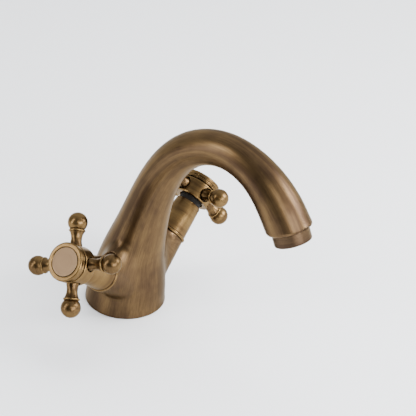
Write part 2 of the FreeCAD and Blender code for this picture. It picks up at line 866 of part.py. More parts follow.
def cap(side, frame):
    """The rolled cap ring and the flat index disc set in it."""
    ring = new_body(side + "_cap_ring", frame)
    plug = D["hub_recess"] - D["gap"]
    turned(ring, [
        (D["cap_bore"], D["cap_plug_at"]),
        (plug, D["cap_plug_at"]),
        (plug, D["hub_top"]),
        (D["cap_neck"], D["hub_top"]),
        (D["cap_neck"], D["cap_at"]),
        (D["cap_band"], D["cap_at"]),
        (D["cap_band"], D["cap_band_top"]),
        (D["cap_band"] - D["cap_step"], D["cap_band_top"] + D["cap_step_rise"]),
        (D["cap_bead"], D["cap_top"] - D["cap_roll"]),
        (D["cap_bead"] - D["cap_roll"], D["cap_top"]),
        (D["cap_rim"], D["cap_top"] - D["cap_dish"]),
        (D["cap_rim"], D["index_seat"]),
        (D["cap_bore"], D["index_seat"]),
    ], arcs={8: (D["cap_roll"] * 1.02, 1), 9: (D["cap_roll"] * 1.6, 1)})

    disc = new_body(side + "_index_disc", frame)
    top = D["index_seat"] + D["index_thick"]
    turned(disc, [
        (0.0, D["index_seat"]),
        (D["index_radius"], D["index_seat"]),
        (D["index_radius"], top - D["index_edge"]),
        (D["index_radius"] - D["index_edge"], top),
        (0.0, top),
    ])


def arm(name, frame):
    """One turned arm: tenon, waisted neck, bead and ball."""
    body = new_body(name, frame)
    below_centre = D["ball_at"] - D["bead_end"]
    ball_start = (D["ball_radius"] * D["ball_radius"] - below_centre * below_centre).root()
    turned(body, [
        (0.0, D["arm_inner"]),
        (D["tenon_radius"], D["arm_inner"]),
        (D["tenon_radius"], D["arm_shoulder"]),
        (D["arm_root"], D["arm_shoulder"]),
        (D["arm_root"], D["arm_neck_at"]),
        (D["arm_flare"], D["arm_flare_at"]),
        (D["bead_radius"], D["bead_at"]),
        (D["bead_radius"], D["bead_end"]),
        (ball_start, D["bead_end"]),
        (0.0, D["ball_at"] + D["ball_radius"]),
    ], arcs={
        4: (D["arm_neck_bow"], -1),
        6: (D["bead_round"], 1),
        8: (D["ball_radius"], 1),
    })


def check_document():
    """Stop if any object failed to compute or any piece is not a valid solid."""
    for thing in doc.Objects:
        failed = {"Invalid", "Error"} & set(thing.State)
        if failed:
            raise RuntimeError(f"{thing.Name}: {sorted(failed)}")
    for piece in pieces:
        shape = piece.Shape
        if shape.isNull() or not shape.isValid() or not shape.Solids:
            raise RuntimeError(f"{piece.Label} is not a valid solid")


body_casting()
aerator()
fixing()
for side_name in SIDES:
    valve(side_name)
    handle(side_name)
doc.recompute()
check_document()
os.makedirs("parts", exist_ok=True)
for piece in pieces:
    piece.Shape.exportStep(f"parts/{piece.Label}.step")
    print(piece.Label, len(piece.Shape.Solids), round(piece.Shape.Volume, 2))
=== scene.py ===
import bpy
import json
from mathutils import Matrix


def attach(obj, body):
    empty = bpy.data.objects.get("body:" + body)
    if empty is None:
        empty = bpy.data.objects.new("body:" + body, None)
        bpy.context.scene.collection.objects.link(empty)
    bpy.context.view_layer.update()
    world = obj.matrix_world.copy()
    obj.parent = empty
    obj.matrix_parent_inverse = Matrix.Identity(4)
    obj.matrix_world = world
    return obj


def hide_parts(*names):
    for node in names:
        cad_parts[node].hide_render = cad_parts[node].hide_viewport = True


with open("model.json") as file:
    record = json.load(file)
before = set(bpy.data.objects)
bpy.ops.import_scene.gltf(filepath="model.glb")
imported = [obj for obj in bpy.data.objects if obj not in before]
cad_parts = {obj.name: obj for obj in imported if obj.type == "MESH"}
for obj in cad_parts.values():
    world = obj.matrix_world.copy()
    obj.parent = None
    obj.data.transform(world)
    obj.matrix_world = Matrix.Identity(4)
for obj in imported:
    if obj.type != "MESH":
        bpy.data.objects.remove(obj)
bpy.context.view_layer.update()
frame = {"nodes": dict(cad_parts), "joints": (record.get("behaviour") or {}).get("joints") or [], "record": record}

import json
import math

import bpy
import numpy as np
from mathutils import Matrix, Vector

# Two-handle basin mixer in brushed antique brass. Lengths are millimetres until a mesh is made.
MM = 0.001

# ---------------------------------------------------------------- camera and studio
CAMERA_AIM = (50.0, 10.6, 81.3)
CAMERA_DISTANCE = 814.9
CAMERA_AZIMUTH = 35.2
CAMERA_ELEVATION = 31.18
CAMERA_ROLL = 4.75
CAMERA_LENS = 121.15
# the studio is darkest this way, and its strength rises as a direction turns from it
DARK_SIDE = (0.0, -1.0, 0.0)
STUDIO_FALL = {"From Min": -0.4, "From Max": 0.8, "To Min": 1.8, "To Max": 0.2}
BOX_DISTANCE = 0.9
FLOOR_REACH = 3000

# ---------------------------------------------------------------- casting
# centre x, centre z and radius of the casting, from the foot to the outlet
SPINE = np.array([
    (0.0, 0.0, 25.0),
    (1.2, 12.0, 23.7),
    (4.5, 35.0, 19.7),
    (9.4, 55.0, 16.1),
    (16.2, 79.0, 13.2),
    (28.3, 105.8, 11.4),
    (45.1, 123.2, 10.5),
    (68.2, 130.2, 10.2),
    (91.3, 123.2, 11.2),
    (108.4, 106.4, 12.9),
    (113.7, 98.9, 13.1),
])
SPOUT_LEAN = 37.0
OUTLET_LEAN = 25.0
OUTLET_ROUND = 2.4
OUTLET_REACH = 30.0
FAR_INSIDE = -100.0
FOOT_ROUND = 0.9
BOSS_START = 6.0
BOSS_END = 38.5
BOSS_ROOT = 13.6
BOSS_RADIUS = 10.2
BOSS_ROUND = 0.5
BOSS_BLEND = 8.8
SKIN_VOXEL = 0.75
SKIN_PASSES = 8
BODY_CORNER = 50.0
# drilled holes: radius, from and to along the frame's Z
OUTLET_SOCKET = (9.8, -9.5, 3.0)
FOOT_RECESS = (17.5, -3.0, 8.0)
STUD_HOLE = (3.0, 7.0, 18.5)
STUD_X = -12.0
STUD_RADIUS = 2.98
STUD_FOOT = -47.95
STUD_TOP = 18.4
THREAD_PITCH = 1.0
THREAD_DEPTH = 0.5
THREAD_ROWS = 8
STUD_CHAMFER = 0.8
INLET_HOLE = (4.46, 7.0, 18.0)
INLET_X = 7.0
INLET_Y = 9.7
VALVE_BORE = (8.35, 20.0, 42.0)
VALVE_CHAMBER = (9.4, 19.5, 27.5)

# ---------------------------------------------------------------- valves and handles
CROSS_AT = 70.0
ARM_TURN = 23.8
BALL_AT = 24.9
BALL_RADIUS = 5.82
ARM_WAIST_ARC = 9.8
BEAD_LOW = 19.3
BEAD_HIGH = 20.7
BEAD_RADIUS = 0.72
SIDES = {"hot": -1, "cold": 1}

# outlines of turned pieces: radius, height along the axis, rounding of that corner
BONNET = [
    (9.25, 38.5, 0.1), (10.95, 38.5, 0.65), (10.95, 39.95, 0.65), (10.12, 40.5, 0.45),
    (9.75, 45.0, 0.0), (9.3, 50.0, 0.0), (8.8, 55.0, 0.0),
    (8.22, 61.9, 0.9), (7.35, 61.9, 0.1), (7.35, 61.0, 0.0), (6.95, 61.0, 0.0), (6.95, 50.0, 0.0),
    (7.75, 50.0, 0.0), (9.25, 41.3, 0.0),
]
HUB = [
    (8.3, 64.75, 0.25), (11.5, 64.75, 0.85), (11.5, 75.3, 0.5), (7.6, 75.3, 0.1),
    (7.6, 73.2, 0.0), (2.15, 73.2, 0.0), (2.15, 67.0, 0.0), (8.3, 67.0, 0.0),
]
ARM_POCKET = [
    (0.0, 9.8, 0.0), (4.5, 9.8, 0.0), (4.5, 11.0, 0.0), (5.2, 12.4, 0.0), (0.0, 12.4, 0.0),
]
CAP = [
    (6.0, 74.4, 0.0), (7.55, 74.4, 0.0), (7.55, 75.3, 0.0), (9.8, 75.3, 0.0), (9.8, 76.3, 0.0),
    (11.35, 76.3, 0.15), (11.35, 77.6, 0.15), (10.95, 77.95, 0.12), (11.5, 78.2, 0.3),
    (11.45, 80.6, 1.35), (8.8, 80.4, 0.3), (8.8, 79.2, 0.1), (6.0, 79.2, 0.0),
]
INDEX_DISC = [(0.0, 79.2, 0.0), (8.45, 79.2, 0.0), (8.45, 80.35, 0.22), (0.0, 80.35, 0.0)]
COLLAR = [
    (8.6, -8.0, 0.1), (9.75, -8.0, 0.1), (9.75, -0.25, 0.0), (10.8, -0.25, 0.0), (10.8, 7.0, 0.9),
    (7.6, 7.0, 0.35), (7.6, 6.2, 0.0), (8.6, 6.2, 0.0),
]

# brushing: the grain's scale along a stroke, the radius that spaces strokes round the body,
# and how far a turned piece's marks shift with their radius
GRAIN_STRETCH = 0.05
GRAIN_RADIUS = 14.0
RADIAL_GRAIN = 0.8


# ================================================================ small tools
def unit(vector):
    return vector / np.linalg.norm(vector)


def clamped_spline(knots, values, first, last):
    """A cubic through the values with these end slopes, as a function of the knot value."""
    gap = np.diff(knots)
    rise = np.diff(values) / gap
    count = len(knots)
    matrix = np.eye(count)
    target = np.zeros(count)
    target[0] = first
    target[-1] = last
    for k in range(1, count - 1):
        matrix[k, k - 1:k + 2] = 1 / gap[k - 1], 2 / gap[k - 1] + 2 / gap[k], 1 / gap[k]
        target[k] = 3 * (rise[k - 1] / gap[k - 1] + rise[k] / gap[k])
    slope = np.linalg.solve(matrix, target)

    def at(where):
        k = np.clip(np.searchsorted(knots, where, side="right") - 1, 0, count - 2)
        u = (where - knots[k]) / gap[k]
        start = (1 + 2 * u) * (1 - u) ** 2 * values[k] + u * (1 - u) ** 2 * gap[k] * slope[k]
        end = u * u * (3 - 2 * u) * values[k + 1] + u * u * (u - 1) * gap[k] * slope[k + 1]
        return start + end

    return at


def mesh_object(name, vertices, faces):
    """A new object from vertices in millimetres."""
    mesh = bpy.data.meshes.new(name)
    mesh.from_pydata((np.asarray(vertices) * MM).tolist(), [], faces)
    mesh.validate()
    piece = bpy.data.objects.new(name, mesh)
    bpy.context.scene.collection.objects.link(piece)
    return piece


def points_of(piece):
    """The piece's vertices in millimetres."""
    flat = np.zeros(len(piece.data.vertices) * 3)
    piece.data.vertices.foreach_get("co", flat)
    return flat.reshape(-1, 3) / MM


def apply_modifiers(piece):
    """Replace the piece's mesh by what its modifiers make of it."""
    graph = bpy.context.evaluated_depsgraph_get()
    made = bpy.data.meshes.new_from_object(piece.evaluated_get(graph))
    piece.modifiers.clear()
    piece.data = made
    made.name = piece.name


def vertex_normals(piece):
    flat = np.zeros(len(piece.data.vertices) * 3)
    piece.data.vertices.foreach_get("normal", flat)
    return flat.reshape(-1, 3)


def edge_wear(piece, full=1.6, passes=2):
    """Curvature at each vertex, from -1 in a groove to 1 on a sharp corner."""
    mesh = piece.data
    ends = np.zeros(len(mesh.edges) * 2, int)
    mesh.edges.foreach_get("vertices", ends)
    ends = ends.reshape(-1, 2)
    points = points_of(piece)
    normals = vertex_normals(piece)
    way = points[ends[:, 0]] - points[ends[:, 1]]
    length = np.maximum((way ** 2).sum(1), 1e-4)
    bend = np.zeros(len(points))
    count = np.maximum(np.bincount(ends.ravel(), minlength=len(points)), 1)
    np.add.at(bend, ends[:, 0], 2 * (normals[ends[:, 0]] * way).sum(1) / length)
    np.add.at(bend, ends[:, 1], -2 * (normals[ends[:, 1]] * way).sum(1) / length)
    bend = np.clip(bend / count / full, -1, 1)
    for _ in range(passes):
        around = np.zeros(len(points))
        np.add.at(around, ends[:, 0], bend[ends[:, 1]])
        np.add.at(around, ends[:, 1], bend[ends[:, 0]])
        bend = 0.5 * bend + 0.5 * around / count
    return bend


def store(piece, name, values):
    """Keep a number or a vector at each vertex, for the materials."""
    kind = "FLOAT_VECTOR" if values.ndim == 2 else "FLOAT"
    layer = piece.data.attributes.new(name, kind, "POINT")
    field = "vector" if values.ndim == 2 else "value"
    layer.data.foreach_set(field, values.astype(np.float32).ravel())


def shade_smooth(piece):
    piece.data.polygons.foreach_set("use_smooth", np.ones(len(piece.data.polygons), bool))


def dress(piece, body, material, nodes):
    """Give a finished piece its body, slot and material, and hide the CAD nodes it stands for."""
    piece.data.materials.clear()
    piece.data.materials.append(material)
    shade_smooth(piece)
    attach(piece, body)
    if nodes:
        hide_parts(*nodes)


# ================================================================ frames
def valve_frame(side):
    """The frame of one valve: Z outwards along the valve axis, X along the spout."""
    joint = next(j for j in frame["joints"] if j["name"] == side + "_handle_turn")
    axis = Vector(joint["axis"]).normalized()
    start = Vector(joint["pos_m"]) / MM - axis * CROSS_AT
    across = axis.cross(Vector((1, 0, 0)))
    basis = Matrix((Vector((1, 0, 0)), across, axis)).transposed()
    return Matrix.Translation(start) @ basis.to_4x4()


def outlet_frame():
    """The frame of the outlet: Z out of the spout, origin at the spine's end."""
    turn = Matrix.Rotation(math.radians(180 - OUTLET_LEAN), 4, "Y")
    return Matrix.Translation((SPINE[-1, 0], 0, SPINE[-1, 1])) @ turn


def arm_frame(side, quarter):
    """The frame of one arm: Z outwards along the arm, from the valve axis."""
    turn = math.radians(90 * quarter - SIDES[side] * ARM_TURN)
    spin = Matrix.Translation((0, 0, CROSS_AT)) @ Matrix.Rotation(turn, 4, "Z")
    return valve_frame(side) @ spin @ Matrix.Rotation(math.radians(90), 4, "Y")


# ================================================================ turned pieces
def arc_points(start, end, radius, side, steps):
    """Points of an arc between two outline points; its centre is left (+1) or right (-1)."""
    start = np.array(start, float)
    end = np.array(end, float)
    chord = end - start
    half = np.linalg.norm(chord) / 2
    left = np.array((-chord[1], chord[0])) / (2 * half)
    centre = (start + end) / 2 + left * side * math.sqrt(max(radius ** 2 - half ** 2, 0))
    first = math.atan2(*(start - centre)[::-1])
    sweep = 2 * math.asin(min(half / radius, 1)) * side
    angles = first + sweep * np.linspace(0, 1, steps + 1)[1:-1]
    return [
        (centre[0] + radius * math.cos(a), centre[1] + radius * math.sin(a), 0.0)
        for a in angles
    ]


def rounded_outline(corners, closed, steps=5, support=0.35, longest=2.2):
    """Replace each rounded corner by an arc, and add points beside it and along long runs."""
    count = len(corners)
    points = [np.array(corner[:2], float) for corner in corners]
    line = []
    for k, (x, y, rounding) in enumerate(corners):
        before = points[k - 1]
        after = points[(k + 1) % count]
        here = points[k]
        if rounding <= 0 or (not closed and k in (0, count - 1)):
            line.append(here)
            continue
        to_before = unit(before - here)
        to_after = unit(after - here)
        angle = math.acos(np.clip(to_before @ to_after, -1, 1))
        back = min(rounding / math.tan(angle / 2), 0.45 * np.linalg.norm(before - here),
                   0.45 * np.linalg.norm(after - here))
        radius = back * math.tan(angle / 2)
        centre = here + unit(to_before + to_after) * radius / math.sin(angle / 2)
        start = here + to_before * back - centre
        end = here + to_after * back - centre
        for f in np.linspace(0, 1, steps + 1):
            line.append(centre + radius * unit(start * (1 - f) + end * f))
    dense = []
    runs = len(line) if closed else len(line) - 1
    for k in range(runs):
        start = line[k]
        way = line[(k + 1) % len(line)] - start
        length = np.linalg.norm(way)
        if length < 1e-6:
            continue
        stops = [0.0]
        if length > 2.5 * support:
            parts = max(1, math.ceil((length - 2 * support) / longest))
            inner = length - 2 * support
            stops += [(support + inner * f / parts) / length for f in range(parts + 1)]
        dense += [start + way * stop for stop in stops]
    if not closed:
        dense.append(line[-1])
    return np.array(dense)


def turned(name, corners, place, segments=96):
    """Revolve an outline about the frame's Z axis, as a closed mesh."""
    closed = corners[0][0] > 0
    outline = rounded_outline(corners, closed)
    angles = np.linspace(0, 2 * math.pi, segments, endpoint=False)
    vertices = []
    rings = []
    for radius, height in outline:
        first = len(vertices)
        if radius < 1e-6:
            vertices.append((0, 0, height))
            rings.append([first] * segments)
        else:
            vertices += [(radius * math.cos(a), radius * math.sin(a), height) for a in angles]
            rings.append(list(range(first, first + segments)))
    faces = []
    pairs = list(zip(rings, rings[1:])) + ([(rings[-1], rings[0])] if closed else [])
    for low, high in pairs:
        for k in range(segments):
            after = (k + 1) % segments
            face = list(dict.fromkeys((low[k], low[after], high[after], high[k])))
            if len(face) > 2:
                faces.append(face)
    piece = mesh_object(name, vertices, faces)
    piece.data.transform(Matrix.Scale(MM, 4) @ place @ Matrix.Scale(1 / MM, 4))
    return piece


def turned_grain(piece, place):
    """Texture coordinates whose fine direction runs across the turning marks."""
    turn = np.array(place.to_3x3())
    local = points_of(piece) @ turn - turn.T @ np.array(place.translation)
    radius = np.hypot(local[:, 0], local[:, 1])
    across = local[:, 2] + RADIAL_GRAIN * radius
    return np.column_stack((across, local[:, 0] * GRAIN_STRETCH, local[:, 1] * GRAIN_STRETCH))


def drill(piece, cutters):
    """Cut the cutters out of a piece, then delete them."""
    for cutter in cutters:
        cut = piece.modifiers.new("cut", "BOOLEAN")
        cut.operation = "DIFFERENCE"
        cut.solver = "MANIFOLD"
        cut.object = cutter
    apply_modifiers(piece)
    for cutter in cutters:
        bpy.data.objects.remove(cutter)


def plug(place, radius, low, high):
    """A round cutter along the frame's Z axis."""
    outline = [(0.0, low, 0.0), (radius, low, 0.0), (radius, high, 0.0), (0.0, high, 0.0)]
    return turned("cutter", outline, place, 64)


def split_corners(piece, angle=40.0):
    """Keep corners sharper than this angle crisp under smooth shading."""
    corner = piece.modifiers.new("corners", "EDGE_SPLIT")
    corner.split_angle = math.radians(angle)


def turned_piece(name, corners, place, body, material, nodes, cutters=(), segments=96):
    """A finished turned piece, with its holes, brushing, wear and material."""
    piece = turned(name, corners, place, segments)
    if cutters:
        drill(piece, cutters)
    store(piece, "grain", turned_grain(piece, place))
    store(piece, "edge", edge_wear(piece))
    dress(piece, body, material, nodes)
    split_corners(piece)


# ================================================================ casting
def spine_samples(spacing=0.25):
    """Centre, tangent, radius, slope of the radius and distance at close steps along the spine."""
    steps = np.hypot(np.diff(SPINE[:, 0]), np.diff(SPINE[:, 1]))
    knots = np.concatenate(([0], np.cumsum(steps)))
    lean = math.radians(SPOUT_LEAN)
    along_x = clamped_spline(knots, SPINE[:, 0], 0.0, math.sin(lean))
    along_z = clamped_spline(knots, SPINE[:, 1], 1.0, -math.cos(lean))
    slopes = np.diff(SPINE[:, 2]) / steps
    girth = clamped_spline(knots, SPINE[:, 2], slopes[0], slopes[-1])
    where = np.linspace(0, knots[-1], int(knots[-1] / spacing))
    centre = np.column_stack((along_x(where), np.zeros(len(where)), along_z(where)))
    gap = np.linalg.norm(np.diff(centre, axis=0), axis=1)
    distance = np.concatenate(([0], np.cumsum(gap)))
    tangent = np.gradient(centre, distance, axis=0)
    tangent /= np.linalg.norm(tangent, axis=1)[:, None]
    radius = girth(where)
    return centre, tangent, radius, np.gradient(radius, distance), distance


CENTRE, TANGENT, RADIUS, SLOPE, DISTANCE = spine_samples()


def nearest_station(points, chunk=8000):
    """Index of the spine sample nearest to each point."""
    found = np.zeros(len(points), int)
    for first in range(0, len(points), chunk):
        part = points[first:first + chunk]
        gap = (part[:, :1] - CENTRE[:, 0]) ** 2 + (part[:, 2:] - CENTRE[:, 2]) ** 2
        found[first:first + chunk] = gap.argmin(1)
    return found


def rounded_end(side, side_out, end, end_out, rounding):
    """The solid inside both surfaces, with the edge between them rounded."""
    u = np.maximum(side + rounding, 0)
    v = np.maximum(end + rounding, 0)
    size = np.sqrt(u * u + v * v)
    depth = np.minimum(np.maximum(side, end), -rounding) + size
    share = np.where(size > 1e-9, u / np.maximum(u + v, 1e-9), side > end)[:, None]
    return depth, side_out * share + end_out * (1 - share)


def tube_surface(points):
    """Depth below the neck and spout's surface and the way out, with the outlet cut square."""
    near = nearest_station(points)
    offset = points - CENTRE[near]
    along = (offset * TANGENT[near]).sum(1)
    out = offset - along[:, None] * TANGENT[near]
    reach = np.maximum(np.linalg.norm(out, axis=1), 1e-6)
    out /= reach[:, None]
    depth = reach - RADIUS[near] - along * SLOPE[near]
    place = outlet_frame()
    way = np.array(place.col[2][:3])
    past = (points - np.array(place.translation)) @ way
    past = np.where(DISTANCE[near] > DISTANCE[-1] - OUTLET_REACH, past, FAR_INSIDE)
    return rounded_end(depth, out, past, np.broadcast_to(way, points.shape), OUTLET_ROUND)


def boss_surface(points, side):
    """Depth below one boss's surface and the way out."""
    place = valve_frame(side)
    axis = np.array(place.col[2][:3])
    offset = points - np.array(place.translation)
    along = offset @ axis
    out = offset - along[:, None] * axis
    reach = np.maximum(np.linalg.norm(out, axis=1), 1e-6)
    taper = (BOSS_ROOT - BOSS_RADIUS) / (BOSS_END - BOSS_START)
    lean = math.hypot(1, taper)
    depth = (reach - BOSS_ROOT + taper * (along - BOSS_START)) / lean
    out = (out / reach[:, None] + taper * axis) / lean
    end_out = np.broadcast_to(axis, points.shape)
    depth, out = rounded_end(depth, out, along - BOSS_END, end_out, BOSS_ROUND)
    return rounded_end(depth, out, BOSS_START - along, -end_out, BOSS_ROUND)


def filleted(first, first_out, second, second_out, radius):
    """Two solids joined with a rolling-ball fillet in the corner between them."""
    lean = np.clip((first_out * second_out).sum(1), -0.99, 0.995)
    u = (radius - first) - lean * (radius - second)
    v = (radius - second) - lean * (radius - first)
    reach = np.sqrt(np.maximum((radius - first) * u + (radius - second) * v, 0) / (1 - lean ** 2))
    inside = (u > 0) & (v > 0)
    lowest = first < second
    depth = np.where(inside, radius - reach, np.where(lowest, first, second))
    share = np.where(inside, u / np.maximum(u + v, 1e-9), lowest)[:, None]
    out = first_out * share + second_out * (1 - share)
    return depth, out / np.maximum(np.linalg.norm(out, axis=1), 1e-6)[:, None]


def casting_surface(points):
    """Depth below the casting's skin and the way out: bosses blended in, foot cut flat."""
    depth, out = tube_surface(points)
    for side in SIDES:
        depth, out = filleted(depth, out, *boss_surface(points, side), BOSS_BLEND)
    down = np.broadcast_to((0.0, 0.0, -1.0), points.shape)
    depth, out = rounded_end(depth, out, -points[:, 2], down, FOOT_ROUND)
    return depth, out / np.maximum(np.linalg.norm(out, axis=1), 1e-6)[:, None]


def rough_tube(rings=90, segments=48, extra=0.4):
    """A closed tube a little outside the casting, to start its mesh from."""
    vertices = []
    picks = np.linspace(0, len(CENTRE) - 1, rings).astype(int)
    for k in picks:
        side = np.array((TANGENT[k, 2], 0, -TANGENT[k, 0]))
        for a in np.linspace(0, 2 * math.pi, segments, endpoint=False):
            way = side * math.cos(a) + np.array((0, 1, 0)) * math.sin(a)
            vertices.append(CENTRE[k] + way * (RADIUS[k] + extra))
    return vertices, tube_faces(rings, segments)


def rough_boss(side, segments=48, extra=0.4):
    """A closed cone a little outside one boss."""
    place = valve_frame(side)
    vertices = []
    for along, radius in ((BOSS_START, BOSS_ROOT), (BOSS_END + extra, BOSS_RADIUS)):
        for a in np.linspace(0, 2 * math.pi, segments, endpoint=False):
            spot = ((radius + extra) * math.cos(a), (radius + extra) * math.sin(a), along)
            vertices.append(np.array(place @ Vector(spot)))
    return vertices, tube_faces(2, segments)


def tube_faces(rings, segments):
    """Faces of a tube of rings, closed at both ends."""
    faces = [list(range(segments))[::-1], list(range((rings - 1) * segments, rings * segments))]
    for ring in range(rings - 1):
        for k in range(segments):
            after = (k + 1) % segments
            low = ring * segments
            faces.append((low + k, low + after, low + segments + after, low + segments + k))
    return faces


def casting_holes():
    """Cutters for the outlet, the foot recess, the stud, the inlets and the valves."""
    upright = Matrix.Identity(4)
    holes = [
        plug(outlet_frame(), *OUTLET_SOCKET),
        plug(upright, *FOOT_RECESS),
        plug(Matrix.Translation((STUD_X, 0, 0)), *STUD_HOLE),
    ]
    for side, sign in SIDES.items():
        holes.append(plug(Matrix.Translation((INLET_X, sign * INLET_Y, 0)), *INLET_HOLE))
        holes.append(plug(valve_frame(side), *VALVE_BORE))
        holes.append(plug(valve_frame(side), *VALVE_CHAMBER))
    return holes


def casting(material):
    """The cast body's outer skin: a voxel mesh drawn onto the blended surfaces."""
    vertices = []
    faces = []
    for part, part_faces in (rough_tube(), rough_boss("hot"), rough_boss("cold")):
        faces += [[index + len(vertices) for index in face] for face in part_faces]
        vertices += list(part)
    piece = mesh_object("cast_body", np.array(vertices), faces)
    remesh = piece.modifiers.new("skin", "REMESH")
    remesh.mode = "VOXEL"
    remesh.voxel_size = SKIN_VOXEL * MM
    apply_modifiers(piece)
    points = points_of(piece)
    for _ in range(SKIN_PASSES):
        depth, out = casting_surface(points)
        points -= depth[:, None] * out
    piece.data.vertices.foreach_set("co", (points * MM).ravel())
    piece.data.update()
    drill(piece, casting_holes())
    points = points_of(piece)
    near = nearest_station(points)
    round_way = points - CENTRE[near]
    side = np.column_stack((TANGENT[near, 2], np.zeros(len(near)), -TANGENT[near, 0]))
    angle = np.arctan2(round_way[:, 1], (round_way * side).sum(1))
    around = (GRAIN_RADIUS * np.cos(angle), GRAIN_RADIUS * np.sin(angle))
    store(piece, "grain", np.column_stack((*around, DISTANCE[near] * GRAIN_STRETCH)))
    store(piece, "edge", edge_wear(piece))
    dress(piece, "root", material, ["body_casting"])
    split_corners(piece, BODY_CORNER)


# ================================================================ materials
RIM_TINT = (0.76, 0.68, 0.58, 1.0)
# painted shade: a near-black colour mixed into the brass where ambient occlusion finds a crevice or a neighbouring
# part
SHADE_PAINT_COLOUR = (0.008, 0.006, 0.004, 1.0)
MARK_DEPTH = 0.00003
MOULD_DEPTH = 0.00004
# noise: scale, detail and roughness
BRUSH_MARKS = (2.2, 5.0, 0.75)
BRUSH_BANDS = (0.15, 3.0, 0.5)
PATINA_CLOUDS = (55.0, 3.0)
METAL_MARKS = (900.0, 4.0, 0.6)
METAL_CLOUDS = (72.0, 3.0)
MOULD_MARKS = (700.0, 5.0, 0.6)
MOULD_CLOUDS = (35.0, 3.0)
# how much of each goes into the antique brass, from 0 to 1
CLOUD_SHARE = 0.6
GOLD_SHARE = 0.5
BAND_SHARE = 0.35
MARK_SHARE = 0.5
# spans: the value's two ends, and what they become
CLOUD_SPAN = (0.35, 0.7)
MARK_SPAN = (0.3, 0.7)
WORN_PATCH = (0.68, 1.0)
EDGE_GOLD = (0.3, 0.95, 0.0, 0.8)
EDGE_POLISH = (0.12, 0.6, 0.0, -0.08)
GROOVE_PATINA = (-0.08, -0.45, 0.0, 0.9)
GROOVE_ROUGH = (-0.1, -0.5, 0.0, 0.2)
# painted shade: the span of the occlusion value that darkens the colour towards the painted shade colour
CREVICE_SHADE_SPAN = (0.5, 0.12, 0.0, 0.95)
CREVICE_WIDTH = 0.003


class Graph:
    """A material's node tree, built one node at a time."""

    def __init__(self, name):
        self.material = bpy.data.materials.new(name)
        self.material.use_nodes = True
        self.tree = self.material.node_tree
        self.shader = self.tree.nodes["Principled BSDF"]

    def node(self, kind, inputs=(), **settings):
        made = self.tree.nodes.new(kind)
        for key, value in settings.items():
            setattr(made, key, value)
        for key, value in dict(inputs).items():
            self.feed(made.inputs[key], value)
        return made

    def feed(self, socket, value):
        if isinstance(value, bpy.types.NodeSocket):
            self.tree.links.new(value, socket)
        else:
            socket.default_value = value

    def attribute(self, name, output):
        return self.node("ShaderNodeAttribute", attribute_name=name).outputs[output]

    def noise(self, vector, scale, detail=4.0, roughness=0.55):
        inputs = {"Vector": vector, "Scale": scale, "Detail": detail, "Roughness": roughness}
        return self.node("ShaderNodeTexNoise", inputs).outputs["Fac"]

    def math(self, operation, first, second):
        return self.node("ShaderNodeMath", {0: first, 1: second}, operation=operation).outputs[0]

    def span(self, value, low, high, to_low=0.0, to_high=1.0):
        ends = {"From Min": low, "From Max": high, "To Min": to_low, "To Max": to_high}
        return self.node("ShaderNodeMapRange", {"Value": value, **ends}).outputs["Result"]

    def mix(self, share, first, second):
        made = self.node("ShaderNodeMix", data_type="RGBA")
        self.feed(made.inputs[0], share)
        self.feed(made.inputs[6], first)
        self.feed(made.inputs[7], second)
        return made.outputs[2]

    def crevice_occlusion(self, reach):
        """1 in the open, falling to 0 in a crevice narrower than the reach; it is used to paint shade into the
        colour.
        """
        inputs = {"Distance": reach}
        return self.node("ShaderNodeAmbientOcclusion", inputs, samples=8).outputs["AO"]

    def bump(self, height, strength, distance):
        inputs = {"Height": height, "Strength": strength, "Distance": distance}
        made = self.node("ShaderNodeBump", inputs)
        self.feed(self.shader.inputs["Normal"], made.outputs["Normal"])

    def shade(self, **inputs):
        for key, value in inputs.items():
            self.feed(self.shader.inputs[key.replace("_", " ")], value)
        return self.material


def colour(red, green, blue):
    return (red, green, blue, 1.0)


def antique_brass(name, base, gold, patina, rubbed, rough=0.36, streak=1.0):
    """Brushed brass under a brown patina that has worn to gold on the edges, with near-black painted shade in
    crevices and in gaps between parts.
    """
    graph = Graph(name)
    grain = graph.attribute("grain", "Vector")
    edge = graph.attribute("edge", "Fac")
    place = graph.node("ShaderNodeTexCoord").outputs["Object"]
    fine = graph.noise(grain, *BRUSH_MARKS)
    broad = graph.noise(grain, *BRUSH_BANDS)
    cloud = graph.noise(place, *PATINA_CLOUDS)
    worn = graph.span(graph.math("ADD", broad, graph.math("MULTIPLY", cloud, CLOUD_SHARE)), *WORN_PATCH)
    tone = graph.mix(graph.math("MULTIPLY", worn, GOLD_SHARE * streak), base, gold)
    tone = graph.mix(graph.span(broad, 0.5, 0.3, 0.0, BAND_SHARE * streak), tone, patina)
    tone = graph.mix(graph.span(fine, 0.4, 0.68, 0.0, MARK_SHARE * streak), tone, patina)
    tone = graph.mix(graph.span(edge, *EDGE_GOLD), tone, rubbed)
    tone = graph.mix(graph.span(edge, *GROOVE_PATINA), tone, patina)
    # painted shade: near black where ambient occlusion finds a crevice or a gap next to another part
    tone = graph.mix(graph.span(graph.crevice_occlusion(CREVICE_WIDTH), *CREVICE_SHADE_SPAN), tone, SHADE_PAINT_COLOUR)
    level = graph.math("ADD", rough - 0.09, graph.math("MULTIPLY", fine, 0.18))
    level = graph.math("ADD", level, graph.span(edge, *GROOVE_ROUGH))
    level = graph.math("ADD", level, graph.span(edge, *EDGE_POLISH))
    graph.bump(fine, 0.3, MARK_DEPTH)
    return graph.shade(
        Base_Color=tone, Metallic=1.0, Roughness=level, Specular_Tint=RIM_TINT,
        Coat_Weight=0.06, Coat_Roughness=0.22)


def plain_metal(name, base, dull, rough):
    """Machined or plated metal with fine random marks."""
    graph = Graph(name)
    place = graph.node("ShaderNodeTexCoord").outputs["Object"]
    marks = graph.noise(place, *METAL_MARKS)
    cloud = graph.noise(place, *METAL_CLOUDS)
    tone = graph.mix(graph.span(cloud, *CLOUD_SPAN), base, dull)
    graph.bump(marks, 0.2, MARK_DEPTH)
    level = graph.span(marks, *MARK_SPAN, rough, rough + 0.15)
    return graph.shade(Base_Color=tone, Metallic=1.0, Roughness=level)


